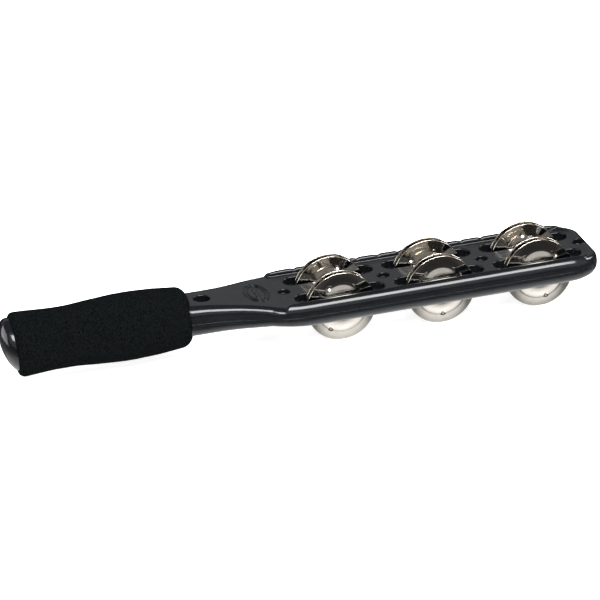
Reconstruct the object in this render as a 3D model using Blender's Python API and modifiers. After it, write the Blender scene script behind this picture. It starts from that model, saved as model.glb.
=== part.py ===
"""Hand-held jingle stick: a two-part moulded frame with a foam grip, and six slots that
each hold a loose pin with a pair of cupped jingles.

The stick lies along X with its tip at +X, and the frame's parting plane is horizontal.
Positions inside the functions are measured from the middle jingle slots, on that plane.
"""

import math

import bmesh
import bpy

MM = 0.001
QUARTER = math.pi / 2

# Driving dimensions
JINGLE_RADIUS = 23.0 * MM
COLUMN_PITCH = 67.4 * MM
ROW_OFFSET = 14.6 * MM
TIP_X = 107.7 * MM
BUTT_X = -289.2 * MM
PARTING_GAP = 0.3 * MM
CLEARANCE = 0.3 * MM

# Head
HEAD_HALF_WIDTH = 33.4 * MM
HEAD_HALF_HEIGHT = 8.9 * MM
HEAD_START_X = -115.0 * MM
HEAD_EDGE_RADIUS = 5.0 * MM
TIP_CORNER_LENGTH = 17.4 * MM
TIP_CORNER_WIDTH = 14.9 * MM
TIP_CORNER_POWER = 1.3
TIP_STEPS = 7
SHOULDER_RADIUS = 12.0 * MM
TOP_PANEL_Z = 5.4 * MM
BOTTOM_PANEL_Z = 7.4 * MM
RECESS_HALF_WIDTH = 26.4 * MM
RECESS_END_X = 97.0 * MM
RECESS_CORNER_RADIUS = 10.0 * MM
RIM_INNER_RADIUS = 2.4 * MM
RAMP_RUN = 20.0 * MM
MOUTH_RADIUS = 9.0 * MM
MOUTH_X = -101.0 * MM
LEAD_IN_START = 5.5 * MM
LEAD_IN_LENGTH = 24.0 * MM

# Slots and centreline recesses
SLOT_HALF_LENGTH = 30.15 * MM
SLOT_HALF_WIDTH = 6.65 * MM
SLOT_CHAMFER = 0.6 * MM
BLIND_RADIUS = 4.0 * MM
BLIND_DEPTH = 2.5 * MM
RECESS_COLUMNS = [step * COLUMN_PITCH for step in (-1.5, -0.5, 0.5, 1.5)]
SLOT_COLUMNS = [step * COLUMN_PITCH for step in (-1, 0, 1)]
ROWS = {"near": -ROW_OFFSET, "far": ROW_OFFSET}

# Pins and jingles
PIN_RADIUS = 1.4 * MM
PIN_Z = -2.7 * MM
JINGLE_Z = -3.9 * MM
SEAT_DEPTH = 3.4 * MM
SEAT_HALF_WIDTH = PIN_RADIUS + 0.2 * MM
PIN_HALF_LENGTH = SLOT_HALF_WIDTH + SEAT_DEPTH - CLEARANCE
JINGLE_HOLE_RADIUS = PIN_RADIUS + PIN_Z - JINGLE_Z + CLEARANCE
JINGLE_SHEET = 0.7 * MM
RIM_OFFSET = 2.2 * MM

# Screws and their bosses
SCREW_RADIUS = 1.35 * MM
SCREW_HEAD_RADIUS = 2.7 * MM
SCREW_HEAD_HEIGHT = 1.7 * MM
SCREW_SEAT_Z = -5.0 * MM
SCREW_TIP_Z = 1.9 * MM
POST_RADIUS = 3.2 * MM
POST_END_Z = -3.0 * MM

# Hollows inside the shells, and the wall that is left
WALL = 2.9 * MM
POCKET_TOP = 3.0 * MM
POCKET_BOTTOM = -5.0 * MM
PIN_BLOCK_HALF = 4.0 * MM
BOSS_HALF = 5.2 * MM
CENTRE_POCKET_HALF = 5.0 * MM
SIDE_POCKET_INNER = ROW_OFFSET + SLOT_HALF_WIDTH + 2.4 * MM
SIDE_POCKET_OUTER = HEAD_HALF_WIDTH - WALL

# Neck, handle and grip
HOLE_X = -155.8 * MM
HOLE_RADIUS = 5.4 * MM
CORE_RADIUS = 12.0 * MM
DOME_RADIUS = 17.2 * MM
DOME_BASE_X = -281.6 * MM
DOME_STEP = 1.0 * MM
GRIP_LEFT_X = -281.2 * MM
GRIP_RIGHT_X = -163.8 * MM
# Each section of the neck: x, height of its middle, half width, half height, corner radius
NECK_SECTIONS = [
    (-182 * MM, 0.0 * MM, 12.0 * MM, 12.0 * MM, 12.0 * MM),
    (-174 * MM, 0.2 * MM, 13.8 * MM, 11.4 * MM, 9.5 * MM),
    (-166 * MM, 0.6 * MM, 16.3 * MM, 10.5 * MM, 6.5 * MM),
    (-155 * MM, 0.6 * MM, 17.3 * MM, 9.9 * MM, 6.0 * MM),
    (-145 * MM, 0.6 * MM, 18.8 * MM, 9.1 * MM, 5.5 * MM),
    (-135 * MM, 0.6 * MM, 21.1 * MM, 8.4 * MM, 5.0 * MM),
    (-126 * MM, 0.6 * MM, 24.2 * MM, 7.8 * MM, 5.0 * MM),
    (-118 * MM, 0.5 * MM, 27.3 * MM, 7.1 * MM, 5.0 * MM),
    (-111 * MM, 0.3 * MM, 30.0 * MM, 6.3 * MM, 5.0 * MM),
    (-104 * MM, 0.0 * MM, 31.6 * MM, 5.2 * MM, 5.0 * MM),
    (-97 * MM, 0.0 * MM, 31.8 * MM, 5.0 * MM, 4.9 * MM),
]
# The grip's outer profile from its right end: x, radius
GRIP_PROFILE = [
    (-163.8 * MM, 13.0 * MM),
    (-164.4 * MM, 15.6 * MM),
    (-166.4 * MM, 17.6 * MM),
    (-171.0 * MM, 19.3 * MM),
    (-179.0 * MM, 20.6 * MM),
    (-190.0 * MM, 21.6 * MM),
    (-205.0 * MM, 22.2 * MM),
    (-218.0 * MM, 21.9 * MM),
    (-232.0 * MM, 20.7 * MM),
    (-247.0 * MM, 19.7 * MM),
    (-259.0 * MM, 20.0 * MM),
    (-272.0 * MM, 21.0 * MM),
    (-278.0 * MM, 20.8 * MM),
    (-280.6 * MM, 19.4 * MM),
    (-281.2 * MM, 17.0 * MM),
]

# The jingle's upper face from its hole to its rim: radius, height above the rim
JINGLE_PROFILE = [
    (JINGLE_HOLE_RADIUS, 2.4 * MM),
    (8.9 * MM, 2.4 * MM),
    (10.0 * MM, 3.1 * MM),
    (14.7 * MM, 3.2 * MM),
    (18.2 * MM, 1.2 * MM),
    (JINGLE_RADIUS, 0.5 * MM),
]


def clear_scene():
    for item in list(bpy.data.objects):
        bpy.data.objects.remove(item, do_unlink=True)


def collection(name):
    group = bpy.data.collections.new(name)
    bpy.context.scene.collection.children.link(group)
    return group


def material(name, colour, roughness, metallic):
    made = bpy.data.materials.new(name)
    made.use_nodes = True
    shader = made.node_tree.nodes["Principled BSDF"]
    shader.inputs["Base Color"].default_value = (*colour, 1)
    shader.inputs["Roughness"].default_value = roughness
    shader.inputs["Metallic"].default_value = metallic
    return made


def add_object(name, mesh_data, group, finish=None):
    """A bmesh becomes an object of the stick, standing on the stick's own axes."""
    bmesh.ops.recalc_face_normals(mesh_data, faces=mesh_data.faces)
    mesh = bpy.data.meshes.new(name)
    mesh_data.to_mesh(mesh)
    mesh_data.free()
    item = bpy.data.objects.new(name, mesh)
    item.parent = STICK
    group.objects.link(item)
    if finish:
        mesh.materials.append(finish)
    return item


def add_cutter(name, mesh_data):
    item = add_object(name, mesh_data, CUTTERS)
    item.hide_render = True
    item.display_type = "WIRE"
    return item


def boolean(item, operation, other):
    modifier = item.modifiers.new(other.name, "BOOLEAN")
    modifier.operation = operation
    modifier.solver = "EXACT"
    modifier.object = other


def smooth(item):
    for face in item.data.polygons:
        face.use_smooth = True


def arc(centre_x, centre_y, radius, start, end, steps):
    """Points on an arc, both ends included."""
    turns = [start + (end - start) * step / steps for step in range(steps + 1)]
    return [
        (centre_x + radius * math.cos(turn), centre_y + radius * math.sin(turn))
        for turn in turns
    ]


def mirrored(half_outline):
    """A half outline on +Y, and its mirror image walked back on -Y."""
    return half_outline + [(x, -y) for x, y in reversed(half_outline)]


def loft(rings):
    """A closed solid through rings of points that all have the same count."""
    made = bmesh.new()
    layers = [[made.verts.new(point) for point in ring] for ring in rings]
    count = len(layers[0])
    for low, high in zip(layers, layers[1:]):
        for i in range(count):
            j = (i + 1) % count
            made.faces.new((low[i], low[j], high[j], high[i]))
    made.faces.new(layers[0])
    made.faces.new(list(reversed(layers[-1])))
    return made


def section(x, middle_z, half_width, half_height, corner, steps=4):
    """A rounded rectangle across the stick at x."""
    points = []
    for quarter in range(4):
        side = 1 if quarter in (0, 3) else -1
        level = 1 if quarter in (0, 1) else -1
        centre_y = side * (half_width - corner)
        centre_z = middle_z + level * (half_height - corner)
        start = quarter * QUARTER
        points += arc(centre_y, centre_z, corner, start, start + QUARTER, steps)
    return [(x, y, z) for y, z in points]


def box(x_range, y_range, z_range):
    made = bmesh.new()
    bmesh.ops.create_cube(made, size=1.0)
    for vert in made.verts:
        for axis, (low, high) in enumerate((x_range, y_range, z_range)):
            vert.co[axis] = low + (high - low) * (vert.co[axis] + 0.5)
    return made


def cylinder(x, y, radius, low, high, segments):
    made = bmesh.new()
    bmesh.ops.create_cone(made, cap_ends=True, segments=segments,
                          radius1=radius, radius2=radius, depth=high - low)
    bmesh.ops.translate(made, verts=made.verts, vec=(x, y, (low + high) / 2))
    return made


def turned(name, profile, steps, group, finish):
    """A profile of (radius, height) points turned about the object's own Z axis."""
    made = bmesh.new()
    verts = [made.verts.new((radius, 0, height)) for radius, height in profile]
    for upper, lower in zip(verts, verts[1:]):
        made.edges.new((upper, lower))
    item = add_object(name, made, group, finish)
    screw = item.modifiers.new("turn", "SCREW")
    screw.steps = steps
    screw.render_steps = steps
    screw.use_merge_vertices = True
    screw.merge_threshold = 0.00001
    return item


def head_block():
    """The head's slab: its tip corners are drawn in like a superellipse."""
    tip = []
    for step in range(TIP_STEPS + 1):
        turn = QUARTER * step / TIP_STEPS
        along = math.cos(turn) ** TIP_CORNER_POWER - 1
        across = math.sin(turn) ** TIP_CORNER_POWER - 1
        tip.append((TIP_X + TIP_CORNER_LENGTH * along,
                    HEAD_HALF_WIDTH + TIP_CORNER_WIDTH * across))
    shoulder = arc(HEAD_START_X + SHOULDER_RADIUS, HEAD_HALF_WIDTH - SHOULDER_RADIUS,
                   SHOULDER_RADIUS, QUARTER, 2 * QUARTER, 4)
    outline = mirrored(tip + shoulder)
    levels = (-HEAD_HALF_HEIGHT, HEAD_HALF_HEIGHT)
    return loft([[(x, y, z) for x, y in outline] for z in levels])


def recess(panel_z, side):
    """What the raised rim stands around: open to the neck, with a ramp up to the tip."""
    foot_z = HEAD_HALF_HEIGHT - RIM_INNER_RADIUS
    levels = [(panel_z, 0.0, 0.0)]
    for turn in (0, math.radians(30), math.radians(60)):
        height = foot_z + RIM_INNER_RADIUS * math.sin(turn)
        if height > panel_z:
            spread = RIM_INNER_RADIUS * (1 - math.cos(turn))
            run = RAMP_RUN * (height - panel_z) / (HEAD_HALF_HEIGHT - panel_z)
            levels.append((height, spread, run))
    levels.append((HEAD_HALF_HEIGHT + 2 * MM, 2 * RIM_INNER_RADIUS, 1.5 * RAMP_RUN))
    rings = []
    for z, spread, run in levels:
        half_width = RECESS_HALF_WIDTH + spread
        end = arc(RECESS_END_X + run - RECESS_CORNER_RADIUS,
                  half_width - RECESS_CORNER_RADIUS, RECESS_CORNER_RADIUS, 0, QUARTER, 4)
        mouth = arc(MOUTH_X, half_width + MOUTH_RADIUS, MOUTH_RADIUS,
                    -QUARTER, -2 * QUARTER, 4)
        outline = mirrored(end + mouth)
        rings.append([(x, y, side * z) for x, y in outline])
    return loft(rings)


def underside_lead_in():
    """A wedge off the head's underside, so that it deepens gently from the neck."""
    side = 40 * MM
    start_x = HEAD_START_X - 15 * MM
    end_x = HEAD_START_X + LEAD_IN_LENGTH
    slope = (HEAD_HALF_HEIGHT - LEAD_IN_START) / LEAD_IN_LENGTH
    profile = [
        (start_x, -LEAD_IN_START + slope * (HEAD_START_X - start_x)),
        (end_x, -HEAD_HALF_HEIGHT),
        (end_x, -side),
        (start_x, -side),
    ]
    return loft([[(x, y, z) for x, z in profile] for y in (-side, side)])


def slot_cutter(x, y):
    """A slot with round ends, and a small chamfer where it meets each panel."""
    reach = 3 * MM
    levels = [
        (-BOTTOM_PANEL_Z - reach, SLOT_CHAMFER + reach),
        (-BOTTOM_PANEL_Z + SLOT_CHAMFER, 0.0),
        (TOP_PANEL_Z - SLOT_CHAMFER, 0.0),
        (TOP_PANEL_Z + reach, SLOT_CHAMFER + reach),
    ]
    middle = SLOT_HALF_LENGTH - SLOT_HALF_WIDTH
    rings = []
    for z, spread in levels:
        radius = SLOT_HALF_WIDTH + spread
        outline = arc(x + middle, y, radius, -QUARTER, QUARTER, 8)
        outline += arc(x - middle, y, radius, QUARTER, 3 * QUARTER, 8)
        rings.append([(px, py, z) for px, py in outline])
    return loft(rings)


def frame_core(extra):
    """The butt dome, the handle core and the neck as one loft, grown outward by extra."""
    rings = []
    for turn in (12, 32, 52, 72, 90):
        angle = math.radians(turn)
        rise = (DOME_BASE_X + DOME_STEP - BUTT_X) * math.cos(angle)
        radius = DOME_RADIUS * math.sin(angle) + extra
        rings.append(section(DOME_BASE_X + DOME_STEP - rise, 0, radius, radius, radius))
    first = rings[0][0][0]
    rings[0] = [(x + BUTT_X - first, y, z) for x, y, z in rings[0]]
    for x in (DOME_BASE_X + 1.5 * DOME_STEP, NECK_SECTIONS[0][0] - 10 * MM):
        radius = CORE_RADIUS + extra
        rings.append(section(x, 0, radius, radius, radius))
    for x, middle_z, half_width, half_height, corner in NECK_SECTIONS:
        rings.append(section(x, middle_z, half_width + extra, half_height + extra,
                             corner + extra))
    return loft(rings)


def handle_hollow():
    """The hollow inside the handle core."""
    radius = CORE_RADIUS - WALL
    ends = (DOME_BASE_X - 1.5 * MM, NECK_SECTIONS[0][0])
    return loft([section(x, 0, radius, radius, radius) for x in ends])


def neck_hollow():
    """The hollow between the hanging hole's boss and the head."""
    rings = []
    for x, _, half_width, half_height, _ in NECK_SECTIONS[4:9]:
        depth = half_height - WALL
        rings.append([
            (x, half_width - WALL, depth),
            (x, WALL - half_width, depth),
            (x, WALL - half_width, -depth),
            (x, half_width - WALL, -depth),
        ])
    return loft(rings)


def head_hollows():
    """The pockets between the slots, the pin blocks and the screw bosses."""
    made = []
    heights = (POCKET_BOTTOM, POCKET_TOP)
    middle = (-CENTRE_POCKET_HALF, CENTRE_POCKET_HALF)
    for column in SLOT_COLUMNS:
        near_end = column + PIN_BLOCK_HALF
        far_end = column + COLUMN_PITCH / 2 - BOSS_HALF
        made.append(box((near_end, far_end), middle, heights))
        made.append(box((2 * column - far_end, 2 * column - near_end), middle, heights))
    ends = [-96 * MM]
    for column in SLOT_COLUMNS:
        ends += [column - PIN_BLOCK_HALF, column + PIN_BLOCK_HALF]
    ends.append(90 * MM)
    for low, high in zip(ends[0::2], ends[1::2]):
        made.append(box((low, high), (SIDE_POCKET_INNER, SIDE_POCKET_OUTER), heights))
        made.append(box((low, high), (-SIDE_POCKET_OUTER, -SIDE_POCKET_INNER), heights))
    return made


def seat_boxes(half_width, low, high, start, end):
    """A box at each end of each pin, from start to end beyond the middle of its slot."""
    made = []
    for column in SLOT_COLUMNS:
        for row in ROWS.values():
            x_range = (column - half_width, column + half_width)
            made.append(box(x_range, (row + start, row + end), (low, high)))
            made.append(box(x_range, (row - end, row - start), (low, high)))
    return made


def shared_cutters():
    """Everything that is cut from both shells alike."""
    cutters = []
    for column in SLOT_COLUMNS:
        for row in ROWS.values():
            cutters.append(add_cutter("slot cutter", slot_cutter(column, row)))
    far = 20 * MM
    cutters.append(add_cutter("hanging hole cutter",
                              cylinder(HOLE_X, 0, HOLE_RADIUS, -far, far, 24)))
    cutters.append(add_cutter("handle hollow", handle_hollow()))
    cutters.append(add_cutter("neck hollow", neck_hollow()))
    for pocket in head_hollows():
        cutters.append(add_cutter("head pocket", pocket))
    return cutters


def shell(name, keep_top, cutters, finish):
    """One half of the frame: outer shape first, then its hollows and its own features."""
    item = add_object(name, head_block(), PARTS, finish)
    edges = item.modifiers.new("edges", "BEVEL")
    edges.width = HEAD_EDGE_RADIUS
    edges.segments = 4
    edges.limit_method = "ANGLE"
    edges.angle_limit = math.radians(60)
    edges.use_clamp_overlap = False
    boolean(item, "DIFFERENCE", add_cutter(name + " top recess", recess(TOP_PANEL_Z, 1)))
    boolean(item, "DIFFERENCE", add_cutter(name + " bottom recess", recess(BOTTOM_PANEL_Z, -1)))
    boolean(item, "DIFFERENCE", add_cutter(name + " lead-in", underside_lead_in()))
    boolean(item, "UNION", add_cutter(name + " core", frame_core(0.0)))
    for cutter in cutters:
        boolean(item, "DIFFERENCE", cutter)
    far = 60 * MM
    along = (BUTT_X - far, TIP_X + far)
    if keep_top:
        other_half = box(along, (-far, far), (-far, PARTING_GAP / 2))
    else:
        other_half = box(along, (-far, far), (-PARTING_GAP / 2, far))
    boolean(item, "DIFFERENCE", add_cutter(name + " other half", other_half))
    return item


def upper_shell(cutters, finish):
    """The top half, with posts for the screws and tongues that hold the pins down."""
    item = shell("upper_shell", True, cutters, finish)
    for x in RECESS_COLUMNS:
        floor = TOP_PANEL_Z - BLIND_DEPTH
        post = cylinder(x, 0, POST_RADIUS, POST_END_Z, floor - MM, 20)
        boolean(item, "UNION", add_cutter("screw post", post))
        blind = cylinder(x, 0, BLIND_RADIUS, floor, 20 * MM, 24)
        boolean(item, "DIFFERENCE", add_cutter("blind recess", blind))
        bore = cylinder(x, 0, SCREW_RADIUS + CLEARANCE, POST_END_Z - MM,
                        SCREW_TIP_Z + CLEARANCE, 12)
        boolean(item, "DIFFERENCE", add_cutter("screw bore", bore))
    tongues = seat_boxes(SEAT_HALF_WIDTH - CLEARANCE, PIN_Z + PIN_RADIUS + CLEARANCE, MM,
                         SLOT_HALF_WIDTH + 0.4 * MM, SLOT_HALF_WIDTH + SEAT_DEPTH - CLEARANCE)
    for tongue in tongues:
        boolean(item, "UNION", add_cutter("pin tongue", tongue))
    smooth(item)
    return item


def lower_shell(cutters, finish):
    """The bottom half, with pin seats open at the top and screw seats underneath."""
    item = shell("lower_shell", False, cutters, finish)
    seats = seat_boxes(SEAT_HALF_WIDTH, PIN_Z - SEAT_HALF_WIDTH, MM,
                       SLOT_HALF_WIDTH - MM, SLOT_HALF_WIDTH + SEAT_DEPTH)
    for seat in seats:
        boolean(item, "DIFFERENCE", add_cutter("pin seat", seat))
    for x in RECESS_COLUMNS:
        pocket = cylinder(x, 0, POST_RADIUS + CLEARANCE, POST_END_Z - CLEARANCE, MM, 20)
        boolean(item, "DIFFERENCE", add_cutter("post pocket", pocket))
        bore = cylinder(x, 0, SCREW_RADIUS + CLEARANCE, -20 * MM, MM, 12)
        boolean(item, "DIFFERENCE", add_cutter("screw hole", bore))
        seat = cylinder(x, 0, SCREW_HEAD_RADIUS + 2 * CLEARANCE, -20 * MM, SCREW_SEAT_Z, 20)
        boolean(item, "DIFFERENCE", add_cutter("screw seat", seat))
    smooth(item)
    return item


def foam_grip(finish):
    """The foam sleeve: a turned outside, with the frame's own shape cut out of it."""
    profile = [(0.0, GRIP_RIGHT_X)]
    profile += [(radius, x) for x, radius in GRIP_PROFILE]
    profile.append((0.0, GRIP_LEFT_X))
    item = turned("foam_grip", profile, 32, PARTS, finish)
    item.rotation_euler = (0, QUARTER, 0)
    boolean(item, "DIFFERENCE", add_cutter("grip bore", frame_core(CLEARANCE)))
    smooth(item)
    return item


def pin(name, x, y, finish):
    half = PIN_HALF_LENGTH
    edge = 0.4 * MM
    profile = [(0.0, half), (PIN_RADIUS - edge, half), (PIN_RADIUS, half - edge),
               (PIN_RADIUS, edge - half), (PIN_RADIUS - edge, -half), (0.0, -half)]
    item = turned(name, profile, 14, PARTS, finish)
    item.location = (x, y, PIN_Z)
    item.rotation_euler = (-QUARTER, 0, 0)
    smooth(item)
    return item


def jingle(name, x, y, facing, finish):
    """A cupped disc whose cup opens inward and whose crown faces along facing * Y."""
    profile = JINGLE_PROFILE
    item = turned(name, profile, 32, PARTS, finish)
    sheet = item.modifiers.new("sheet", "SOLIDIFY")
    sheet.thickness = JINGLE_SHEET
    sheet.offset = -1
    sheet.use_even_offset = True
    item.location = (x, y + facing * RIM_OFFSET, JINGLE_Z)
    item.rotation_euler = (-facing * QUARTER, 0, 0)
    smooth(item)
    return item


def screw(name, x, finish):
    """A pan-head screw, driven upward, with a cross recess in its head."""
    head_top = SCREW_SEAT_Z - CLEARANCE
    shank = SCREW_TIP_Z - head_top
    edge = 0.6 * MM
    profile = [(0.0, shank), (SCREW_RADIUS / 2, shank), (SCREW_RADIUS, shank - 2 * edge),
               (SCREW_RADIUS, 0.0), (SCREW_HEAD_RADIUS, 0.0),
               (SCREW_HEAD_RADIUS, edge - SCREW_HEAD_HEIGHT),
               (SCREW_HEAD_RADIUS - edge, -SCREW_HEAD_HEIGHT), (0.0, -SCREW_HEAD_HEIGHT)]
    item = turned(name, profile, 16, PARTS, finish)
    item.location = (x, 0, head_top)
    bottom = head_top - SCREW_HEAD_HEIGHT
    depth = (bottom - MM, bottom + 0.9 * MM)
    long_side = (-1.5 * MM, 1.5 * MM)
    short_side = (-0.35 * MM, 0.35 * MM)
    for along_x, along_y in ((long_side, short_side), (short_side, long_side)):
        groove = box((x + along_x[0], x + along_x[1]), along_y, depth)
        boolean(item, "DIFFERENCE", add_cutter("cross recess", groove))
    smooth(item)
    return item


clear_scene()
PARTS = collection("jingle_stick")
CUTTERS = collection("cutters")
STICK = bpy.data.objects.new("stick", None)
STICK.location = (-(TIP_X + BUTT_X) / 2, 0, JINGLE_RADIUS - JINGLE_Z)
PARTS.objects.link(STICK)

black_shell = material("black_shell", (0.022, 0.024, 0.028), 0.38, 0.0)
black_foam = material("black_foam", (0.012, 0.012, 0.012), 0.95, 0.0)
nickel = material("nickel", (0.78, 0.74, 0.68), 0.16, 1.0)
pin_steel = material("pin_steel", (0.62, 0.61, 0.59), 0.3, 1.0)
screw_steel = material("screw_steel", (0.09, 0.09, 0.1), 0.4, 0.9)

shell_cutters = shared_cutters()
upper_shell(shell_cutters, black_shell)
lower_shell(shell_cutters, black_shell)
foam_grip(black_foam)
for number, column_x in enumerate(SLOT_COLUMNS, start=1):
    for row_name, row_y in ROWS.items():
        label = f"{row_name}_{number}"
        pin("pin_" + label, column_x, row_y, pin_steel)
        jingle(f"jingle_{label}_a", column_x, row_y, -1, nickel)
        jingle(f"jingle_{label}_b", column_x, row_y, 1, nickel)
for number, screw_x in enumerate(RECESS_COLUMNS, start=1):
    screw(f"screw_{number}", screw_x, screw_steel)
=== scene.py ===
import math

import bmesh
import bpy
import numpy as np
from mathutils import Matrix, Vector, noise


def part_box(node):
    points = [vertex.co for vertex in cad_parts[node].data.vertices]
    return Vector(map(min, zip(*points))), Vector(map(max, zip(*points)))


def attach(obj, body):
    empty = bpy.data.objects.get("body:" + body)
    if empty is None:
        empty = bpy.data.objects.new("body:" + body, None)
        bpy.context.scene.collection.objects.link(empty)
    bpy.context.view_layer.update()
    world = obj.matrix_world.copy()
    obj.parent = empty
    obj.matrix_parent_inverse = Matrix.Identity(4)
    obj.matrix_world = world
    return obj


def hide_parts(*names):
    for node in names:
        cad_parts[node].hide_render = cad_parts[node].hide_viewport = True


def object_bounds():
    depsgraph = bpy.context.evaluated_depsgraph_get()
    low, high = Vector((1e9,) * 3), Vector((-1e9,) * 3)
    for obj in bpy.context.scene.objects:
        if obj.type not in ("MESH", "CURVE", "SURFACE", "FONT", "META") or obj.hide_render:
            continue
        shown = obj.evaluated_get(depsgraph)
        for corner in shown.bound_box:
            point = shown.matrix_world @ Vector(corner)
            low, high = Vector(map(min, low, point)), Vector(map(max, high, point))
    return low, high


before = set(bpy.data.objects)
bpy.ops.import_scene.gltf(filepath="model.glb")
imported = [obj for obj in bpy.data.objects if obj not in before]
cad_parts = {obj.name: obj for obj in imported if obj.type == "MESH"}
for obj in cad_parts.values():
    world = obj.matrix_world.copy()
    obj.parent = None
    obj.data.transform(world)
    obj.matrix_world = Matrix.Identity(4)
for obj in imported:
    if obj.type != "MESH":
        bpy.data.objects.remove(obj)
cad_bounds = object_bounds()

MM = 0.001

# All sizes are in the stick's own axes: millimetres from the middle slots, with the parting
# plane at z = 0, the grip towards -x and the far rim towards +y.

# The slots: two rows of three, with a pin across each.
PITCH = 67.4
ROW_OFFSET = 14.6
SLOT_REACH = 23.5
SLOT_HALF_WIDTH = 6.72
PIN_LEVEL = -2.7
PIN_HALF_LENGTH = 9.75

# The neck: x, rise of the section's middle, half width, half height, corner radius.
NECK = np.array([
    (-182.0, 0.0, 12.0, 12.0, 12.0),
    (-174.0, 0.2, 13.8, 11.4, 9.5),
    (-166.0, 0.6, 16.3, 10.5, 6.5),
    (-155.0, 0.6, 17.3, 9.9, 6.0),
    (-145.0, 0.6, 18.8, 9.1, 5.5),
    (-135.0, 0.6, 21.1, 8.4, 5.0),
    (-126.0, 0.6, 24.2, 7.8, 5.0),
    (-118.0, 0.5, 27.3, 7.1, 5.0),
    (-111.0, 0.3, 30.0, 6.3, 5.0),
    (-104.0, 0.0, 31.2, 5.2, 5.0),
    (-97.0, 0.0, 30.6, 5.0, 4.9),
])
NECK_MIDDLE_X = -188.5
NECK_REACH = 91.5
HOLE_X = -155.8
HOLE_RADIUS = 5.4

# The foam sleeve: x, radius.
GRIP = np.array([
    (-163.8, 19.0),
    (-171.0, 19.8),
    (-179.0, 20.7),
    (-190.0, 21.6),
    (-205.0, 22.2),
    (-218.0, 21.9),
    (-232.0, 20.7),
    (-247.0, 19.7),
    (-259.0, 20.0),
    (-272.0, 21.0),
    (-281.2, 21.2),
])[::-1]
GRIP_ENDS = (-280.7, -165.2)
GRIP_ROUNDINGS = (4.2, 7.0)
GRIP_LEAN = 0.05
FOAM_SWELLS = ((130, 0.14), (420, 0.07))

# The butt's cap.
DOME_X = -280.1
DOME_FOOT_X = -279.4
DOME_LENGTH = 9.0
DOME_RADIUS = 18.2
DOME_LEAN = 0.2
DOME_LEAN_LEVEL = 4.0

# The head's outline, with a quarter ellipse at each corner.
HALF_WIDTH = 33.4
HALF_HEIGHT = 8.9
TIP_X = 107.7
TIP_LENGTH = 20.6
TIP_DEPTH = 17.6
SHOULDER_X = -90.0
SHOULDER_LENGTH = 27.0
SHOULDER_DEPTH = 9.0

# The head's long edge, which grows rounder towards the tip.
EDGE_ROUNDING = 7.0
EDGE_GROWTH = 1.0
EDGE_GROWTH_X = 78.0
EDGE_GROWTH_LENGTH = 22.0

# Where the head's rims rise out of the neck, above, and where its underside starts, below.
RISE_X = -96.0
RISE_LEVEL = 4.8
RISE_LENGTH = 21.0
RISE_HEIGHT = 4.1
LEAD_IN_X = -115.0
LEAD_IN_LEVEL = -5.5
LEAD_IN_LENGTH = 24.0

# The two sunk panels: their levels, their ramp up to the tip and their walls at the rims.
TOP_PANEL = 5.4
BOTTOM_PANEL = 7.4
RAMP_LENGTH = 20.0
RAMP_REACH = 26
RECESS_END_X = 87.0
RECESS_SIDE = 16.4
RECESS_CORNER = 10.0
MOUTH_X = -101.0
MOUTH_SIDE = 35.4
MOUTH_RADIUS = 9.0

# The blind recesses on the centreline, with a screw's seat under each.
BLIND_RADIUS = 4.0
BLIND_FLOOR = 2.5
SEAT_RADIUS = 3.3
SEAT_LEVEL = -5.0
SCREW_HEAD_RADIUS = 2.7
SCREW_HEAD_HEIGHT = 1.7
SCREW_SHANK_RADIUS = 1.35

# The thumb grooves of the far rim.
GROOVE_X = -0.8
GROOVE_PITCH = 14.4
GROOVES_EACH_WAY = 6
GROOVE_HALF_WIDTH = 2.6
GROOVE_DEPTH = 0.85

# The half shells stop this far from the parting plane.
PARTING_GAP = 0.05
PARTING_ROUNDING = 0.12

# The badge: half length, half width and line width of its rings, and its discs' places.
BADGE_X = -119.5
BADGE_RINGS = ((7.8, 14.0, 1.3), (5.6, 11.0, 0.7))
BADGE_DISCS = (-5.6, 0.0, 5.6)
BADGE_DISC_RADIUS = 2.0
BADGE_STEPS = 72

# The jingle's outer face from its hole to its rim: radius, height above the rim plane.
JINGLE_FACE = np.array([
    (2.9, 2.3), (4.4, 2.35), (5.4, 2.6), (6.2, 2.95), (7.0, 3.2), (7.8, 3.3), (9.0, 3.26),
    (10.2, 3.14), (11.4, 2.95), (12.4, 2.7), (13.4, 2.38), (14.4, 2.02), (15.4, 1.68),
    (16.4, 1.44), (17.3, 1.34), (18.4, 1.16), (20.0, 0.92), (21.6, 0.72), (23.0, 0.57),
])
JINGLE_SHEET = 0.7
JINGLE_RADIUS = 23.0
JINGLE_STEPS = 180
JINGLE_PLAY = 0.2
DENT_RING = 16.2
DENT_RADIUS = 1.45
DENT_DEPTH = 1.0
DENT_TIP = 0.25

# Each pair: the dents' angle on one jingle and on the other, and how far both lean about the
# upright and about the stick's length, in degrees.
JINGLE_LIE = {
    ("near", 1): (118, 20, 0.5, -0.4),
    ("near", 2): (31, 75, 0.0, -1.0),
    ("near", 3): (44, 100, -0.4, -1.3),
    ("far", 1): (70, 40, 0.4, 0.3),
    ("far", 2): (15, 5, -0.3, 0.4),
    ("far", 3): (95, 60, 0.5, 0.4),
}

CAMERA_YAW = -13.124
CAMERA_LIFT = 24.101
CAMERA_ROLL = -4.170
CAMERA_DISTANCE = 1.93369
CAMERA_LENS = 178.07

# The painted room: how bright it is by the height of a direction.
ROOM_LEVELS = [
    (-1.0, 1.7), (-0.87, 1.45), (-0.74, 1.15), (-0.63, 0.95), (-0.56, 0.62), (-0.5, 0.22),
    (-0.38, 0.12), (-0.15, 0.03), (0.1, 0.03), (0.5, 0.06), (1.0, 0.06),
]
FAR_CARD_BAND = [(-1.0, 0.0), (0.2, 0.0), (0.32, 1.0), (0.47, 1.0), (0.6, 0.0), (1.0, 0.0)]
FAR_CARD_LEVEL = 0.26
FRONT_TENT_LEVEL = 0.55


def middle(node):
    low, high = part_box(node)
    return (low + high) / 2


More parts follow.
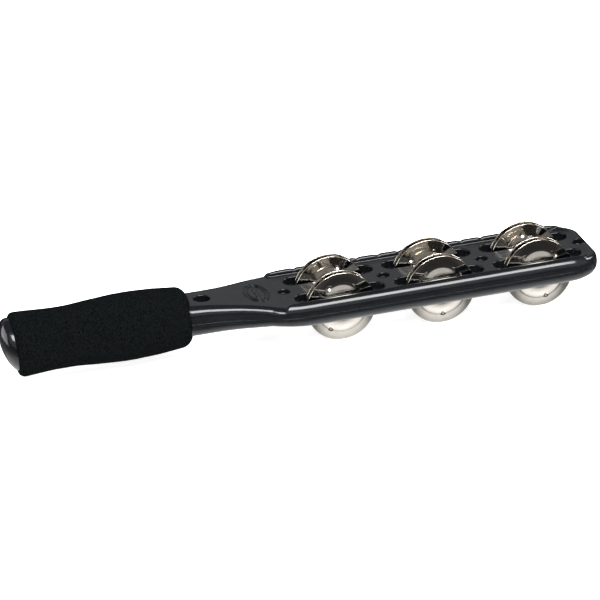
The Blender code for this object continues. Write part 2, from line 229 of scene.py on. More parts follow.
PIN_PLACE = {
    (row, number): middle(f"pin_{row}_{number}")
    for row in ("near", "far")
    for number in (1, 2, 3)
}
STICK = Vector((PIN_PLACE["near", 2].x, 0, PIN_PLACE["near", 2].z - PIN_LEVEL * MM))


# ---------------------------------------------------------------- signed distances
def round_max(a, b, radius):
    """Where both solids are, with their shared edge rounded."""
    corner = np.hypot(np.maximum(a + radius, 0), np.maximum(b + radius, 0))
    return np.minimum(np.maximum(a, b), -radius) + corner


def round_min(a, b, radius):
    """Where either solid is, with a fillet between them."""
    return -round_max(-a, -b, radius)


def smooth_step(value):
    value = np.clip(value, 0, 1)
    return value * value * (3 - 2 * value)


def eased(x, table, column, reach=3.0):
    """A table's column at x, with its corners smoothed over the reach."""
    total = 0
    for share, weight in ((-1, 1), (-0.5, 2), (0, 3), (0.5, 2), (1, 1)):
        total = total + weight * np.interp(x + share * reach, table[:, 0], table[:, column])
    return total / 9


def super_corner(u, v, a, b, power):
    """Distance past a quarter superellipse, which runs on into two straight sides."""
    across = np.maximum(u, 1e-4) / a
    along = np.maximum(v, 1e-4) / b
    size = (across ** power + along ** power) ** (1 / power)
    steepness = np.hypot(across ** (power - 1) / a, along ** (power - 1) / b)
    return (size - 1) / (size ** (1 - power) * steepness)


def rounded_corner(u, v, radius):
    """Distance past two sides that meet in a round corner; u and v are past its centre."""
    outside = np.hypot(np.maximum(u, 0), np.maximum(v, 0))
    return outside + np.minimum(np.maximum(u, v), 0) - radius


def neck_distance(x, y, z):
    """The handle and neck: a rounded rectangle that changes along the stick."""
    rise = eased(x, NECK, 1)
    half_width = eased(x, NECK, 2)
    half_height = eased(x, NECK, 3)
    corner = eased(x, NECK, 4)
    u = abs(y) - half_width + corner
    v = abs(z - rise) - half_height + corner
    return rounded_corner(u, v, corner)


def dome_distance(x, y, z):
    """The butt's cap, whose face leans so that its top reaches further out."""
    lean = DOME_LEAN * (z - DOME_LEAN_LEVEL)
    cap = super_corner(DOME_X - x - lean, np.hypot(y, z), DOME_LENGTH, DOME_RADIUS, 2.0)
    return round_max(cap, x - DOME_FOOT_X, 0.6)


def recess_inside(x, y, z, panel, top):
    """The head's solid as one recess leaves it: panel, rims' walls and ramp to the tip.

    The top is 1 for the recess above and -1 for the one below.
    """
    side = abs(y)
    slope = (HALF_HEIGHT - panel) / RAMP_LENGTH
    ramp_x = x - np.clip((top * z - panel) / slope, 0, RAMP_REACH)
    u = ramp_x - RECESS_END_X
    v = side - RECESS_SIDE
    outside = np.hypot(np.maximum(u, 0), np.maximum(v, 0))
    lean = np.maximum(u, 0) / np.maximum(outside, 1e-3)
    wall = -rounded_corner(u, v, RECESS_CORNER) / np.sqrt(1 + (lean / slope) ** 2)
    mouth = np.hypot(x - MOUTH_X, side - MOUTH_SIDE) - MOUTH_RADIUS
    wall = np.where(x < MOUTH_X, mouth, wall)
    return round_min(top * z - panel, wall, 0.7)


def grooves(x, y, z):
    """How deep the thumb grooves of the far rim are."""
    place = x - GROOVE_X
    number = np.clip(np.round(place / GROOVE_PITCH), -GROOVES_EACH_WAY, GROOVES_EACH_WAY)
    gap = abs(place - number * GROOVE_PITCH)
    notch = np.maximum(1 - gap / GROOVE_HALF_WIDTH, 0) ** 1.3
    return GROOVE_DEPTH * notch * smooth_step((y - 24.5) / 4) * smooth_step((z + 1.5) / 3)


def head_distance(x, y, z):
    """The head: a slab with round edges, cut by both recesses and sloped where it starts."""
    side = abs(y)
    tip = super_corner(x - TIP_X + TIP_LENGTH, side - HALF_WIDTH + TIP_DEPTH,
                       TIP_LENGTH, TIP_DEPTH, 2.0)
    shoulder = super_corner(SHOULDER_X - x, side - HALF_WIDTH + SHOULDER_DEPTH,
                            SHOULDER_LENGTH, SHOULDER_DEPTH, 2.0)
    growth = smooth_step((x - EDGE_GROWTH_X) / EDGE_GROWTH_LENGTH)
    edge = EDGE_ROUNDING + EDGE_GROWTH * growth
    slab = round_max(np.maximum(tip, shoulder), abs(z) - HALF_HEIGHT, edge)
    slab = slab + grooves(x, y, z)
    solid = round_max(slab, recess_inside(x, y, z, TOP_PANEL, 1), 2.4)
    solid = round_max(solid, recess_inside(x, y, z, BOTTOM_PANEL, -1), 1.4)
    rise = super_corner(RISE_X - x, z - RISE_LEVEL, RISE_LENGTH, RISE_HEIGHT, 1.5)
    solid = round_max(solid, rise, 1.0)
    slope = (HALF_HEIGHT + LEAD_IN_LEVEL) / LEAD_IN_LENGTH
    lead_in = -(z - LEAD_IN_LEVEL + slope * (x - LEAD_IN_X)) / math.hypot(1, slope)
    return round_max(solid, lead_in, 2.0)


def frame_distance(x, y, z):
    """The whole frame before it is split: handle, neck and head, with its holes."""
    blend = 0.1 + 1.6 * (1 - smooth_step((x + 109.0) / 8.0))
    neck = round_max(neck_distance(x, y, z), abs(x - NECK_MIDDLE_X) - NECK_REACH, 0.3)
    solid = round_min(head_distance(x, y, z), neck, blend)
    solid = np.minimum(solid, dome_distance(x, y, z))
    column = np.clip(np.round(x / PITCH), -1, 1) * PITCH
    past_end = np.maximum(abs(x - column) - SLOT_REACH, 0)
    slot = np.hypot(past_end, abs(y) - ROW_OFFSET) - SLOT_HALF_WIDTH
    solid = round_max(solid, -slot, 0.7)
    between = np.clip(np.floor(x / PITCH) + 0.5, -1.5, 1.5) * PITCH
    reach = np.hypot(x - between, y)
    around_blind = round_min(BLIND_RADIUS - reach, z - BLIND_FLOOR, 0.4)
    solid = round_max(solid, around_blind, 0.4)
    around_seat = round_min(SEAT_RADIUS - reach, SEAT_LEVEL - z, 0.3)
    solid = round_max(solid, around_seat, 0.4)
    hanging = np.hypot(x - HOLE_X, y) - HOLE_RADIUS
    return round_max(solid, -hanging, 0.6)


def upper_distance(x, y, z):
    return round_max(frame_distance(x, y, z), PARTING_GAP - z, PARTING_ROUNDING)


def lower_distance(x, y, z):
    return round_max(frame_distance(x, y, z), z + PARTING_GAP, PARTING_ROUNDING)


def foam_distance(x, y, z):
    """The sleeve: its outer swell, both round ends, and the frame's shape out of the middle."""
    left, right = GRIP_ENDS
    left_rounding, right_rounding = GRIP_ROUNDINGS
    outer = np.hypot(y, z) - eased(x, GRIP, 1, 8.0)
    outer = round_max(outer, x - right, right_rounding)
    outer = round_max(outer, left - x - GRIP_LEAN * z, left_rounding)
    bore = np.minimum(neck_distance(x, y, z), dome_distance(x, y, z)) - 0.1
    return round_max(outer, -bore, 0.7)


def screw_distance(x, y, z):
    """A pan head with a cross recess below z = 0, and a shank above it."""
    radius = np.hypot(x, y)
    half_head = SCREW_HEAD_HEIGHT / 2
    head = round_max(radius - SCREW_HEAD_RADIUS, abs(z + half_head) - half_head, 0.7)
    shank = round_max(radius - SCREW_SHANK_RADIUS, abs(z - 3.3) - 3.5, 0.3)
    depth = -z - 0.75
    width = 0.32 + 0.22 * depth
    reach = 1.2 + 0.35 * depth
    cross = np.minimum(np.maximum(abs(x) - reach, abs(y) - width),
                       np.maximum(abs(y) - reach, abs(x) - width))
    around_cross = round_min(-cross, depth, 0.08)
    return round_max(np.minimum(head, shank), around_cross, 0.1)


# ---------------------------------------------------------------- meshes from distances
def stepped(*spans):
    """Grid lines over spans of (start, end, step)."""
    lines = [np.linspace(low, high, max(2, round((high - low) / step) + 1))[:-1]
             for low, high, step in spans]
    return np.concatenate(lines + [np.array([spans[-1][1]])])


def gradient(distance, points, reach=0.04):
    """A distance's slope at each point, from a difference over twice the reach."""
    parts = []
    for axis in range(3):
        shift = np.zeros(3)
        shift[axis] = reach
        ahead = distance(*(points + shift).T)
        behind = distance(*(points - shift).T)
        parts.append((ahead - behind) / (2 * reach))
    return np.stack(parts, axis=1)


def drawn_onto(distance, points, rounds=4, most=0.25):
    """The points moved down the gradient onto the surface."""
    for _ in range(rounds):
        slope = gradient(distance, points)
        size = np.maximum((slope ** 2).sum(axis=1), 0.05)
        move = -(distance(*points.T) / size)[:, None] * slope
        length = np.maximum(np.linalg.norm(move, axis=1), 1e-9)
        points = points + move * np.minimum(most / length, 1)[:, None]
    return points


def net(distance, xs, ys, zs):
    """Vertices and quads on the zero surface of a distance, over a grid of lines."""
    values = distance(xs[:, None, None], ys[None, :, None], zs[None, None, :])
    values = values.astype(np.float32)
    inside = values < 0
    count = sum(
        inside[i:len(xs) - 1 + i, j:len(ys) - 1 + j, k:len(zs) - 1 + k].astype(np.int8)
        for i in (0, 1) for j in (0, 1) for k in (0, 1)
    )
    cells = np.argwhere((count > 0) & (count < 8))
    number = np.full(count.shape, -1, np.int64)
    number[tuple(cells.T)] = np.arange(len(cells))
    lines = (xs, ys, zs)
    total = np.zeros((len(cells), 3))
    hits = np.zeros(len(cells))
    for axis in range(3):
        others = [other for other in range(3) if other != axis]
        for first in (0, 1):
            for second in (0, 1):
                start = cells.copy()
                start[:, others[0]] += first
                start[:, others[1]] += second
                end = start.copy()
                end[:, axis] += 1
                a = values[tuple(start.T)]
                b = values[tuple(end.T)]
                crossed = (a < 0) != (b < 0)
                share = np.where(crossed, a / np.where(crossed, a - b, 1), 0)
                place = np.stack([lines[n][start[:, n]] for n in range(3)], axis=1)
                step = lines[axis][end[:, axis]] - lines[axis][start[:, axis]]
                place[:, axis] += share * step
                total += place * crossed[:, None]
                hits += crossed
    points = total / hits[:, None]
    quads = []
    for axis in range(3):
        low = [slice(None)] * 3
        high = [slice(None)] * 3
        low[axis] = slice(0, -1)
        high[axis] = slice(1, None)
        changed = np.argwhere(inside[tuple(low)] != inside[tuple(high)])
        b, c = [(axis + 1) % 3, (axis + 2) % 3]
        rows = []
        for db, dc in ((-1, -1), (0, -1), (0, 0), (-1, 0)):
            cell = changed.copy()
            cell[:, b] += db
            cell[:, c] += dc
            rows.append(number[tuple(cell.T)])
        faces = np.stack(rows, axis=1)
        outward = inside[tuple(changed.T)]
        faces[~outward] = faces[~outward][:, ::-1]
        quads.append(faces)
    return drawn_onto(distance, points), np.concatenate(quads)


def net_mesh(name, distance, xs, ys, zs, keep=1.0):
    """A mesh on a distance's surface, thinned where it is flat and shaded by the distance."""
    points, quads = net(distance, xs, ys, zs)
    mesh = bpy.data.meshes.new(name)
    mesh.from_pydata(points.tolist(), [], quads.tolist())
    if keep < 1:
        mesh = thinned(mesh, keep)
    places = np.empty(len(mesh.vertices) * 3)
    mesh.vertices.foreach_get("co", places)
    places = drawn_onto(distance, places.reshape(-1, 3), 2)
    normals = gradient(distance, places, 0.1)
    normals /= np.maximum(np.linalg.norm(normals, axis=1), 1e-9)[:, None]
    mesh.vertices.foreach_set("co", (places * MM).ravel())
    mesh.polygons.foreach_set("use_smooth", [True] * len(mesh.polygons))
    mesh.update()
    mesh.normals_split_custom_set_from_vertices(normals.tolist())
    return mesh


def thinned(mesh, keep):
    """The mesh with only a share of its faces, the flattest ones merged first."""
    item = bpy.data.objects.new(mesh.name, mesh)
    bpy.context.scene.collection.objects.link(item)
    modifier = item.modifiers.new("thin", "DECIMATE")
    modifier.ratio = keep
    shown = item.evaluated_get(bpy.context.evaluated_depsgraph_get())
    made = bpy.data.meshes.new_from_object(shown)
    bpy.data.objects.remove(item)
    bpy.data.meshes.remove(mesh)
    return made


# ---------------------------------------------------------------- pieces
def add_piece(name, mesh, finish, body, replaced=(), place=None):
    """A mesh becomes a piece that rides on a body and stands for CAD nodes."""
    item = bpy.data.objects.new(name, mesh)
    bpy.context.scene.collection.objects.link(item)
    if not mesh.materials:
        mesh.materials.append(finish)
    item.matrix_world = place or Matrix.Translation(STICK)
    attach(item, body)
    if replaced:
        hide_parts(*replaced)
    return item


def shells(finish):
    """The frame's two halves, each on a grid that is fine at edges and at the parting plane."""
    xs = stepped((-290.4, -279.0, 0.55), (-279.0, -170.0, 3.0), (-170.0, -162.0, 0.8),
                 (-162.0, -149.0, 0.55), (-149.0, -120.0, 0.9), (-120.0, 109.0, 0.6))
    ys = stepped((-34.2, 34.2, 0.55))
    zs = stepped((-19.4, -9.6, 0.8), (-9.6, -5.0, 0.4), (-5.0, -0.8, 0.6), (-0.8, 0.8, 0.16),
                 (0.8, 5.0, 0.6), (5.0, 9.6, 0.4), (9.6, 19.4, 0.8))
    upper = zs[zs > -0.6]
    lower = zs[zs < 0.6]
    top = net_mesh("shell_top", upper_distance, xs, ys, upper, 0.45)
    bottom = net_mesh("shell_bottom", lower_distance, xs, ys, lower, 0.3)
    add_piece("shell_top", top, finish, "frame", ["upper_shell"])
    add_piece("shell_bottom", bottom, finish, "frame", ["lower_shell"])


def foam_sleeve(finish):
    """The grip's sleeve, with the slight lumps of cut foam."""
    xs = stepped((-282.2, -276.0, 0.6), (-276.0, -171.0, 1.0), (-171.0, -162.8, 0.6))
    ys = stepped((-23.0, 23.0, 0.75))
    mesh = net_mesh("foam_sleeve", foam_distance, xs, ys, ys)
    places = [vert.co.copy() for vert in mesh.vertices]
    normals = [vert.normal.copy() for vert in mesh.vertices]
    for vert, place, normal in zip(mesh.vertices, places, normals):
        push = sum(noise.noise(place * scale) * height for scale, height in FOAM_SWELLS)
        vert.co = place + normal * push * MM
    sleeve = add_piece("foam_sleeve", mesh, finish, "frame", ["foam_grip"])


def surface_height(x, y):
    """The height of the frame's upper surface above the parting plane."""
    low = np.full(x.shape, 1.0)
    high = np.full(x.shape, 12.0)
    for _ in range(24):
        level = (low + high) / 2
        within = frame_distance(x, y, level) < 0
        low = np.where(within, level, low)
        high = np.where(within, high, level)
    return low


def banded(first, rows, steps, closed):
    """Quads between rows of steps vertices, and from the last row to the first if closed."""
    faces = []
    for row in range(rows if closed else rows - 1):
        a = first + row * steps
        b = first + (row + 1) % rows * steps
        for i in range(steps):
            j = (i + 1) % steps
            faces.append((a + i, a + j, b + j, b + i))
    return faces


def finished_mesh(name, verts, faces, merge=0.0):
    """A smooth mesh with its normals outwards."""
    mesh = bpy.data.meshes.new(name)
    mesh.from_pydata(verts, [], faces)
    made = bmesh.new()
    made.from_mesh(mesh)
    if merge:
        bmesh.ops.remove_doubles(made, verts=made.verts, dist=merge)
    bmesh.ops.recalc_face_normals(made, faces=made.faces)
    for face in made.faces:
        face.smooth = True
    made.to_mesh(mesh)
    made.free()
    return mesh


def emblem(finish):
    """A raised generic badge on the neck: two oval rings round three discs."""
    ring_rise = [(-1.0, -0.25), (-1.0, 0.26), (-0.75, 0.42), (0.0, 0.48), (0.75, 0.42),
                 (1.0, 0.26), (1.0, -0.25)]
    size = BADGE_DISC_RADIUS
    disc_rise = [(-size, 0.5), (-size / 2, 0.5), (-0.5, 0.46), (-0.15, 0.3), (0.0, -0.25)]
    parts = []
    for half_x, half_y, width in BADGE_RINGS:
        rise = [(side * width / 2, height) for side, height in ring_rise]
        parts.append((0.0, half_x, half_y, rise, True))
    parts += [(spot, size, size, disc_rise, False) for spot in BADGE_DISCS]
    turns = np.linspace(0, 2 * math.pi, BADGE_STEPS, endpoint=False)
    verts = []
    faces = []
    for spot, half_x, half_y, rise, is_ring in parts:
        first = len(verts)
        for offset, height in rise:
            x = BADGE_X + (half_x + offset) * np.cos(turns)
            y = spot + (half_y + offset) * np.sin(turns)
            z = surface_height(x, y) + height
            verts += (np.stack([x, y, z], axis=1) * MM).tolist()
        faces += banded(first, len(rise), BADGE_STEPS, is_ring)
        if not is_ring:
            faces.append(tuple(range(len(verts) - BADGE_STEPS, len(verts))))
    mesh = finished_mesh("emblem", verts, faces, 1e-6)
    add_piece("emblem", mesh, finish, "frame")


def spline(points, spacing):
    """Points through a polyline's knots, rounded like a Catmull-Rom curve."""
    padded = np.vstack([2 * points[0] - points[1], points, 2 * points[-1] - points[-2]])
    made = []
    for a, b, c, d in zip(padded, padded[1:], padded[2:], padded[3:]):
        steps = max(1, int(math.ceil(np.linalg.norm(c - b) / spacing)))
        for t in np.arange(steps) / steps:
            made.append(0.5 * (2 * b + (c - a) * t + (2 * a - 5 * b + 4 * c - d) * t * t
                               + (3 * b - a - 3 * c + d) * t ** 3))
    return np.array(made + [points[-1]])


def jingle_mesh(name, seed, turned):
    """A pressed disc: cup, hub and cone flange, with three dents and a slight warp."""
    face = spline(JINGLE_FACE, 0.45)
    tangent = np.gradient(face, axis=0)
    tangent /= np.linalg.norm(tangent, axis=1)[:, None]
    inward = np.stack([tangent[:, 1], -tangent[:, 0]], axis=1)
    back = face + inward * JINGLE_SHEET
    half = JINGLE_SHEET / 2
    rim_middle = (face[-1] + back[-1]) / 2
    roll = [rim_middle + half * np.array([math.cos(a), math.sin(a)])
            for a in map(math.radians, (55, 15, -25, -60))]
    hole_middle = (face[0] + back[0]) / 2
    lip = [hole_middle + half * np.array([-math.cos(a), math.sin(a)])
           for a in map(math.radians, (-50, 0, 50))]
    profile = np.vstack([face, roll, back[::-1][::2], lip])
    turns = np.linspace(0, 2 * math.pi, JINGLE_STEPS, endpoint=False)
    radius = np.repeat(profile[:, 0][:, None], JINGLE_STEPS, axis=1)
    height = np.repeat(profile[:, 1][:, None], JINGLE_STEPS, axis=1)
    x = radius * np.cos(turns)
    y = radius * np.sin(turns)
    for dent in range(3):
        angle = math.radians(turned + 120 * dent)
        gap = np.hypot(x - DENT_RING * math.cos(angle), y - DENT_RING * math.sin(angle))
        cone = 1 - (np.hypot(gap, DENT_TIP) - DENT_TIP) / DENT_RADIUS
        height = height - DENT_DEPTH * np.clip(cone, 0, 1) ** 1.4
    warp = 0.05 * np.sin(2 * turns + seed) + 0.03 * np.sin(3 * turns + 2.3 * seed)
    height = height + warp * (radius / JINGLE_RADIUS) ** 3
    verts = np.stack([x, y, height], axis=2).reshape(-1, 3) * MM
    faces = banded(0, len(profile), JINGLE_STEPS, True)
    return finished_mesh(name, verts.tolist(), faces)


def jingles(finish):
    """The twelve jingles, each with its rim a little way off its partner's."""
    order = [(row, number, second) for second in (False, True) for row, number in JINGLE_LIE]
    for seed, (row, number, second) in enumerate(order, 1):
        first_dents, second_dents, swing, nod = JINGLE_LIE[row, number]
        side = "b" if second else "a"
        facing = 1 if second else -1
        node = f"jingle_{row}_{number}_{side}"
        low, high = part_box(node)
        centre = (low + high) / 2
        rim_y = low.y if second else high.y
        spot = Vector((centre.x, rim_y + facing * JINGLE_PLAY * MM, centre.z))
        turn = Matrix.Rotation(math.radians(swing), 4, "Z")
        turn = turn @ Matrix.Rotation(math.radians(nod), 4, "X")
        turn = turn @ Matrix.Rotation(-facing * math.pi / 2, 4, "X")
        name = f"cymbal_{row}_{number}_{side}"
        mesh = jingle_mesh(name, seed, second_dents if second else first_dents)
        add_piece(name, mesh, finish, node, [node],
                  Matrix.Translation(spot) @ turn)


def turned_mesh(name, profile, steps):
    """A mesh turned about Z from (radius, height) points that start and end on the axis."""
    made = bmesh.new()
    rings = []
    for radius, height in profile:
        if radius == 0:
            rings.append([made.verts.new((0, 0, height * MM))])
            continue
        ring = []
        for step in range(steps):
            turn = 2 * math.pi * step / steps
            ring.append(made.verts.new((radius * MM * math.cos(turn),
                                        radius * MM * math.sin(turn), height * MM)))
        rings.append(ring)
    for upper, lower in zip(rings, rings[1:]):
        for i in range(steps):
            j = (i + 1) % steps
            corners = [upper[i % len(upper)], lower[i % len(lower)],
                       lower[j % len(lower)], upper[j % len(upper)]]
            made.faces.new(list(dict.fromkeys(corners)))
    bmesh.ops.recalc_face_normals(made, faces=made.faces)
    for face in made.faces:
        face.smooth = True
    mesh = bpy.data.meshes.new(name)
    made.to_mesh(mesh)
    made.free()
    return mesh


def pins(finish):
    """The six pins, with softened ends."""
    half = PIN_HALF_LENGTH
    end = [(0, half), (0.7, half - 0.02), (1.0, half - 0.08), (1.25, half - 0.25),
           (1.37, half - 0.45), (1.4, half - 0.7), (1.4, half - 1.6)]
    body = [(1.4, half * share) for share in (0.5, 0.25, 0.0, -0.25, -0.5)]
    profile = end + body + [(radius, -height) for radius, height in reversed(end)]
    turn = Matrix.Rotation(-math.pi / 2, 4, "X")
    for (row, number), place in PIN_PLACE.items():
        name = f"axle_{row}_{number}"
        node = f"pin_{row}_{number}"
        mesh = turned_mesh(name, profile, 48)
        add_piece(name, mesh, finish, node, [node],
                  Matrix.Translation(place) @ turn)


def screws(finish):
    """The four screws, their cross recesses turned as they happened to stop."""
    lines = stepped((-3.0, 3.0, 0.12))
    heights = stepped((-2.0, 0.4, 0.12), (0.4, 7.2, 0.4))
    mesh = net_mesh("cross_screw", screw_distance, lines, lines, heights)
    for number in (1, 2, 3, 4):
        low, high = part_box(f"screw_{number}")
        place = Vector(((low.x + high.x) / 2, (low.y + high.y) / 2,
                        low.z + SCREW_HEAD_HEIGHT * MM))
        turn = Matrix.Rotation(math.radians(23 + 41 * number), 4, "Z")
        add_piece(f"cross_screw_{number}", mesh, finish, "frame",
                  [f"screw_{number}"], Matrix.Translation(place) @ turn)


# ---------------------------------------------------------------- materials
SHADER_SOCKETS = {
    "colour": "Base Color",
    "metallic": "Metallic",
    "roughness": "Roughness",
    "ior": "IOR",
    "normal": "Normal",
    "specular": "Specular IOR Level",
    "glow": "Emission Color",
    "glow_strength": "Emission Strength",
}


class Nodes:
    """A material's or a world's node tree, with short calls for the nodes it takes."""

    def __init__(self, owner):
        owner.use_nodes = True
        self.owner = owner
        self.tree = owner.node_tree

    def add(self, kind, **values):
        node = self.tree.nodes.new(kind)
        for key, value in values.items():
            setattr(node, key, value)
        return node

    def link(self, source, target):
        self.tree.links.new(source, target)

    def feed(self, socket, value):
        """A socket's own value, or a link from another node's output."""
        if isinstance(value, bpy.types.NodeSocket):
            self.link(value, socket)
        else:
            socket.default_value = value

    def coordinates(self, kind):
        return self.add("ShaderNodeTexCoord").outputs[kind]

    def split(self, vector):
        node = self.add("ShaderNodeSeparateXYZ")
        self.link(vector, node.inputs["Vector"])
        return node.outputs

    def noise(self, vector, scale, detail=3.0, stretch=(1, 1, 1)):
        mapping = self.add("ShaderNodeMapping")
        mapping.inputs["Scale"].default_value = [scale * part for part in stretch]
        texture = self.add("ShaderNodeTexNoise")
        texture.inputs["Scale"].default_value = 1.0
        texture.inputs["Detail"].default_value = detail
        self.link(vector, mapping.inputs["Vector"])
        self.link(mapping.outputs["Vector"], texture.inputs["Vector"])
        return texture.outputs["Fac"]

    def ramp(self, source, stops):
        """Colours between stops of (place, colour)."""
        node = self.add("ShaderNodeValToRGB")
        elements = node.color_ramp.elements
        for element, (place, colour) in zip(elements, (stops[0], stops[-1])):
            element.position = place
            element.color = (*colour, 1)
        for place, colour in stops[1:-1]:
            elements.new(place).color = (*colour, 1)
        self.link(source, node.inputs["Fac"])
        return node.outputs["Color"]

    def spread(self, source, low, high, start=0.3, end=0.7, kind="LINEAR"):
        """A value from low to high while the source goes from start to end."""
        node = self.add("ShaderNodeMapRange", interpolation_type=kind)
        names = ("From Min", "From Max", "To Min", "To Max")
        for key, value in zip(names, (start, end, low, high)):
            node.inputs[key].default_value = value
        self.link(source, node.inputs["Value"])
        return node.outputs["Result"]

    def math(self, operation, *values):
        node = self.add("ShaderNodeMath", operation=operation)
        for socket, value in zip(node.inputs, values):
            self.feed(socket, value)
        return node.outputs["Value"]

    def bump(self, height, distance, strength, after=None):
        node = self.add("ShaderNodeBump")
        node.inputs["Distance"].default_value = distance
        node.inputs["Strength"].default_value = strength
        self.link(height, node.inputs["Height"])
        if after:
            self.link(after, node.inputs["Normal"])
        return node.outputs["Normal"]

    def surface(self, **values):
        """The material's shader fed with values or outputs, named like its sockets."""
        shader = self.tree.nodes["Principled BSDF"]
        for key, value in values.items():
            self.feed(shader.inputs[SHADER_SOCKETS[key]], value)
        return self.owner


def material_nodes(name):
    return Nodes(bpy.data.materials.new(name))


def moulded_plastic():
    """Black ABS: fine grain, faint flow streaks along the stick, gloss that varies a little."""
    nodes = material_nodes("moulded_black_plastic")
    place = nodes.coordinates("Object")
    streaks = nodes.noise(place, 1, 4.0, (25, 900, 900))
    waves = nodes.bump(streaks, 0.00004, 0.5)
    grain = nodes.noise(place, 2600, 2.0)
    return nodes.surface(
        colour=nodes.ramp(nodes.noise(place, 60), [(0.3, (0.0038, 0.0045, 0.0054)),
                                                   (0.7, (0.0055, 0.0065, 0.0078))]),
        roughness=nodes.spread(streaks, 0.11, 0.17),
        normal=nodes.bump(grain, 0.00003, 0.5, waves),
        ior=1.5,
    )


def foam_rubber():
    """Closed-cell foam: matte near-black, with fine cells and a dusty speckle."""
    nodes = material_nodes("black_foam_rubber")
    place = nodes.coordinates("Object")
    cells = nodes.add("ShaderNodeTexVoronoi")
    cells.inputs["Scale"].default_value = 1500
    nodes.link(place, cells.inputs["Vector"])
    speckle = nodes.noise(place, 1300)
    both = nodes.math("ADD", nodes.math("MULTIPLY", cells.outputs["Distance"], 0.5), speckle)
    return nodes.surface(
        colour=nodes.ramp(both, [(0.4, (0.0002, 0.0003, 0.0003)),
                                 (0.6, (0.0008, 0.0011, 0.0012)),
                                 (0.85, (0.0045, 0.0055, 0.0055))]),
        roughness=nodes.spread(speckle, 0.86, 1.0),
        normal=nodes.bump(both, 0.0004, 0.6),
        specular=0.008,
    )


def spun_nickel():
    """Nickel-plated sheet: faint turning rings, hairline scratches, slightly warm."""
    nodes = material_nodes("spun_nickel")
    place = nodes.coordinates("Object")
    x, y, _ = nodes.split(place)
    squares = nodes.math("ADD", nodes.math("MULTIPLY", x, x), nodes.math("MULTIPLY", y, y))
    rings = nodes.add("ShaderNodeTexNoise", noise_dimensions="1D")
    rings.inputs["Scale"].default_value = 2600
    rings.inputs["Detail"].default_value = 3
    nodes.link(nodes.math("SQRT", squares), rings.inputs["W"])
    turned = nodes.bump(rings.outputs["Fac"], 0.000004, 0.3)
    cloud = nodes.noise(place, 240)
    scratches = nodes.noise(place, 1, 2.0, (400, 9000, 400))
    return nodes.surface(
        colour=nodes.ramp(cloud, [(0.3, (0.69, 0.65, 0.59)), (0.7, (0.76, 0.72, 0.66))]),
        metallic=1.0,
        roughness=nodes.spread(cloud, 0.05, 0.08),
        normal=nodes.bump(scratches, 0.000002, 0.3, turned),
    )


def drawn_steel(name, tone, roughness, metal):
    """Steel with drawing marks along its length."""
    nodes = material_nodes(name)
    marks = nodes.noise(nodes.coordinates("Object"), 1, 3.0, (5000, 5000, 300))
    return nodes.surface(
        colour=nodes.ramp(marks, [(0.3, [part * 0.85 for part in tone]), (0.7, tone)]),
        metallic=metal,
        roughness=nodes.spread(marks, roughness * 0.8, roughness * 1.25),
        normal=nodes.bump(marks, 0.00001, 0.6),
    )


def pale_paper():
    """The floor's white card, which glows a little so that it stays near white."""
    nodes = material_nodes("pale_paper")
    tone = nodes.noise(nodes.coordinates("Object"), 3)
    return nodes.surface(
        colour=nodes.ramp(tone, [(0.3, (0.86, 0.86, 0.86)), (0.7, (0.9, 0.9, 0.9))]),
        roughness=0.9,
        glow=(1, 1, 1, 1),
        glow_strength=0.85,
    )


# ---------------------------------------------------------------- studio
def camera(centre):
    """The photo's camera, fitted to points of the outline."""
    yaw, lift, roll = map(math.radians, (CAMERA_YAW, CAMERA_LIFT, CAMERA_ROLL))
    back = Vector((math.sin(yaw) * math.cos(lift), -math.cos(yaw) * math.cos(lift),
                   math.sin(lift)))
    right = (-back).cross(Vector((0, 0, 1))).normalized()
    up = back.cross(right)
    turned_right = right * math.cos(roll) + up * math.sin(roll)
    turned_up = up * math.cos(roll) - right * math.sin(roll)
    data = bpy.data.cameras.new("camera")
    data.sensor_width = 36
    data.lens = CAMERA_LENS
    item = bpy.data.objects.new("camera", data)
    bpy.context.scene.collection.objects.link(item)
    facing = Matrix((turned_right, turned_up, back)).transposed().to_4x4()
    item.matrix_world = Matrix.Translation(centre + back * CAMERA_DISTANCE) @ facing
    bpy.context.scene.camera = item


def grey_stops(levels):
    """Ramp stops from (height of a direction, brightness)."""
    return [(z / 2 + 0.5, (level,) * 3) for z, level in levels]


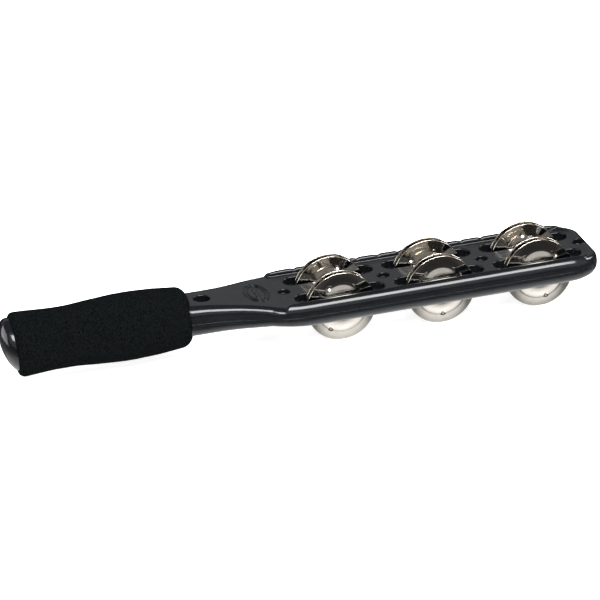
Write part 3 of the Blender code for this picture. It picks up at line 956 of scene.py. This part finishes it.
def backdrop_world():
    """White to the camera; to reflections a dim room above a bright table."""
    world = bpy.data.worlds.new("studio")
    bpy.context.scene.world = world
    nodes = Nodes(world)
    nodes.tree.nodes.clear()
    _, y, z = nodes.split(nodes.coordinates("Generated"))
    height = nodes.math("MULTIPLY_ADD", z, 0.5, 0.5)
    room = nodes.ramp(height, grey_stops(ROOM_LEVELS))
    far = nodes.spread(y, 0.0, FAR_CARD_LEVEL, 0.4, 0.9, "SMOOTHSTEP")
    band = nodes.ramp(height, grey_stops(FAR_CARD_BAND))
    card = nodes.math("MULTIPLY", far, band)
    front = nodes.spread(y, 0.0, FRONT_TENT_LEVEL, -0.1, -0.5, "SMOOTHSTEP")
    lifted = nodes.spread(z, 0.0, 1.0, 0.05, 0.22, "SMOOTHSTEP")
    tent = nodes.math("MULTIPLY_ADD", front, lifted, card)
    total = nodes.add("ShaderNodeMixRGB", blend_type="ADD")
    for socket, value in zip(total.inputs, (1.0, room, tent)):
        nodes.feed(socket, value)
    painted = nodes.add("ShaderNodeBackground")
    nodes.link(total.outputs["Color"], painted.inputs["Color"])
    white = nodes.add("ShaderNodeBackground")
    white.inputs["Color"].default_value = (1, 1, 1, 1)
    white.inputs["Strength"].default_value = 1.0
    mix = nodes.add("ShaderNodeMixShader")
    rays = nodes.add("ShaderNodeLightPath")
    for socket, source in zip(mix.inputs, (rays.outputs["Is Camera Ray"],
                                           painted.outputs[0], white.outputs[0])):
        nodes.link(source, socket)
    out = nodes.add("ShaderNodeOutputWorld")
    nodes.link(mix.outputs[0], out.inputs["Surface"])


def softbox(name, direction, distance, width, height, power, centre):
    """A rectangular light that looks at the object."""
    data = bpy.data.lights.new(name, "AREA")
    data.shape = "RECTANGLE"
    data.size = width
    data.size_y = height
    data.energy = power
    item = bpy.data.objects.new(name, data)
    bpy.context.scene.collection.objects.link(item)
    direction = Vector(direction).normalized()
    item.location = centre + direction * distance
    item.rotation_mode = "QUATERNION"
    item.rotation_quaternion = direction.to_track_quat("Z", "Y")
    return item


def floor():
    """A pale plain floor that gives no reflections of its own."""
    mesh = bpy.data.meshes.new("floor")
    made = bmesh.new()
    bmesh.ops.create_grid(made, x_segments=8, y_segments=8, size=6.0)
    made.to_mesh(mesh)
    made.free()
    mesh.materials.append(pale_paper())
    item = bpy.data.objects.new("floor", mesh)
    bpy.context.scene.collection.objects.link(item)
    item.visible_glossy = False


def studio(centre):
    scene = bpy.context.scene
    scene.view_settings.view_transform = "Standard"
    scene.cycles.caustics_reflective = False
    backdrop_world()
    floor()
    softbox("front_box", (0.06, -0.6, 0.8), 1.5, 1.3, 0.62, 37, centre)
    softbox("right_box", (0.84, 0.1, 0.5), 1.6, 0.5, 0.5, 9, centre)
    softbox("left_box", (-0.85, 0.3, 0.1), 1.5, 1.1, 1.0, 11, centre)
    top = softbox("top_box", (0.0, 0.25, 1.0), 2.2, 2.6, 2.6, 75, centre)
    top.visible_glossy = False


plastic = moulded_plastic()
shells(plastic)
emblem(plastic)
foam_sleeve(foam_rubber())
jingles(spun_nickel())
pins(drawn_steel("drawn_pin_steel", (0.66, 0.64, 0.6), 0.22, 1.0))
screws(drawn_steel("black_screw_steel", (0.09, 0.09, 0.1), 0.35, 0.9))
box_low, box_high = cad_bounds
box_middle = (box_low + box_high) / 2
camera(box_middle)
studio(box_middle)
